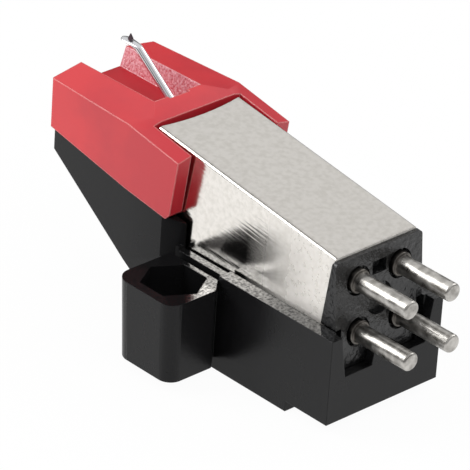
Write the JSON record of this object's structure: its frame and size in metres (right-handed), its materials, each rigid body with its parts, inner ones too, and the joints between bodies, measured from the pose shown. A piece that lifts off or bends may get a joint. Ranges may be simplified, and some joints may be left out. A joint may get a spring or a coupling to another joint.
{
  "type": "phono cartridge with stylus",
  "caption": "Half-inch-mount moving-magnet phono cartridge: black body with screw ears, folded metal shield, rear terminal pins and a red pull-off stylus with a sprung cantilever.",
  "frame": {"origin": "on the mounting face, midway between the two screw holes", "axes": "+Z from the mounting face towards the stylus tip, -Y towards the stylus end, +X across the screw holes"},
  "size_m": [0.0174, 0.0279, 0.0148],
  "materials": {
    "black_plastic": "satin, fine grain",
    "nickel_sheet": "polished with fine draw lines",
    "block_plastic": "satin",
    "pin_plating": "bright plating",
    "core_steel": "plain",
    "bobbin_plastic": "matt",
    "copper_wire": "enamelled copper wire",
    "red_plastic": "satin, slightly translucent",
    "sleeve_metal": "plain",
    "plug_brass": "plain",
    "wire_steel": "plain",
    "damper_rubber": "matt",
    "magnet_metal": "plain",
    "cantilever_metal": "bright drawn tube",
    "tip_jewel": "polished dark jewel"
  },
  "bodies": {
    "cartridge": {"body_shell": "black_plastic", "shield_cover": "nickel_sheet", "terminal_block": "block_plastic", "pin_right_signal": "pin_plating", "pin_right_ground": "pin_plating", "pin_left_signal": "pin_plating", "pin_left_ground": "pin_plating", "core_right": "core_steel", "core_left": "core_steel", "bobbin_right": "bobbin_plastic", "bobbin_left": "bobbin_plastic", "coil_right": "copper_wire", "coil_left": "copper_wire"},
    "stylus_unit": {"stylus_holder": "red_plastic", "stylus_sleeve": "sleeve_metal", "sleeve_plug": "plug_brass", "tie_wire": "wire_steel"},
    "suspension": {"damper": "damper_rubber"},
    "needle": {"cantilever": "cantilever_metal", "magnet": "magnet_metal", "stylus_tip": "tip_jewel"}
  },
  "joints": [
    {"name": "stylus_pull", "type": "slide", "parent": "cartridge", "child": "stylus_unit", "axis": [0, -0.9911, 0.1331], "range_m": [0, 0.012]},
    {"name": "cantilever_vertical", "type": "hinge", "parent": "stylus_unit", "child": "suspension", "pos_m": [0, -0.00549, 0.01042], "axis": [1, 0, 0], "range_deg": [-3, 5], "stiffness_Nm_per_rad": 0.0064},
    {"name": "cantilever_lateral", "type": "hinge", "parent": "suspension", "child": "needle", "pos_m": [0, -0.00549, 0.01042], "axis": [0, 0.5835, 0.8121], "range_deg": [-3, 3], "stiffness_Nm_per_rad": 0.0064}
  ]
}
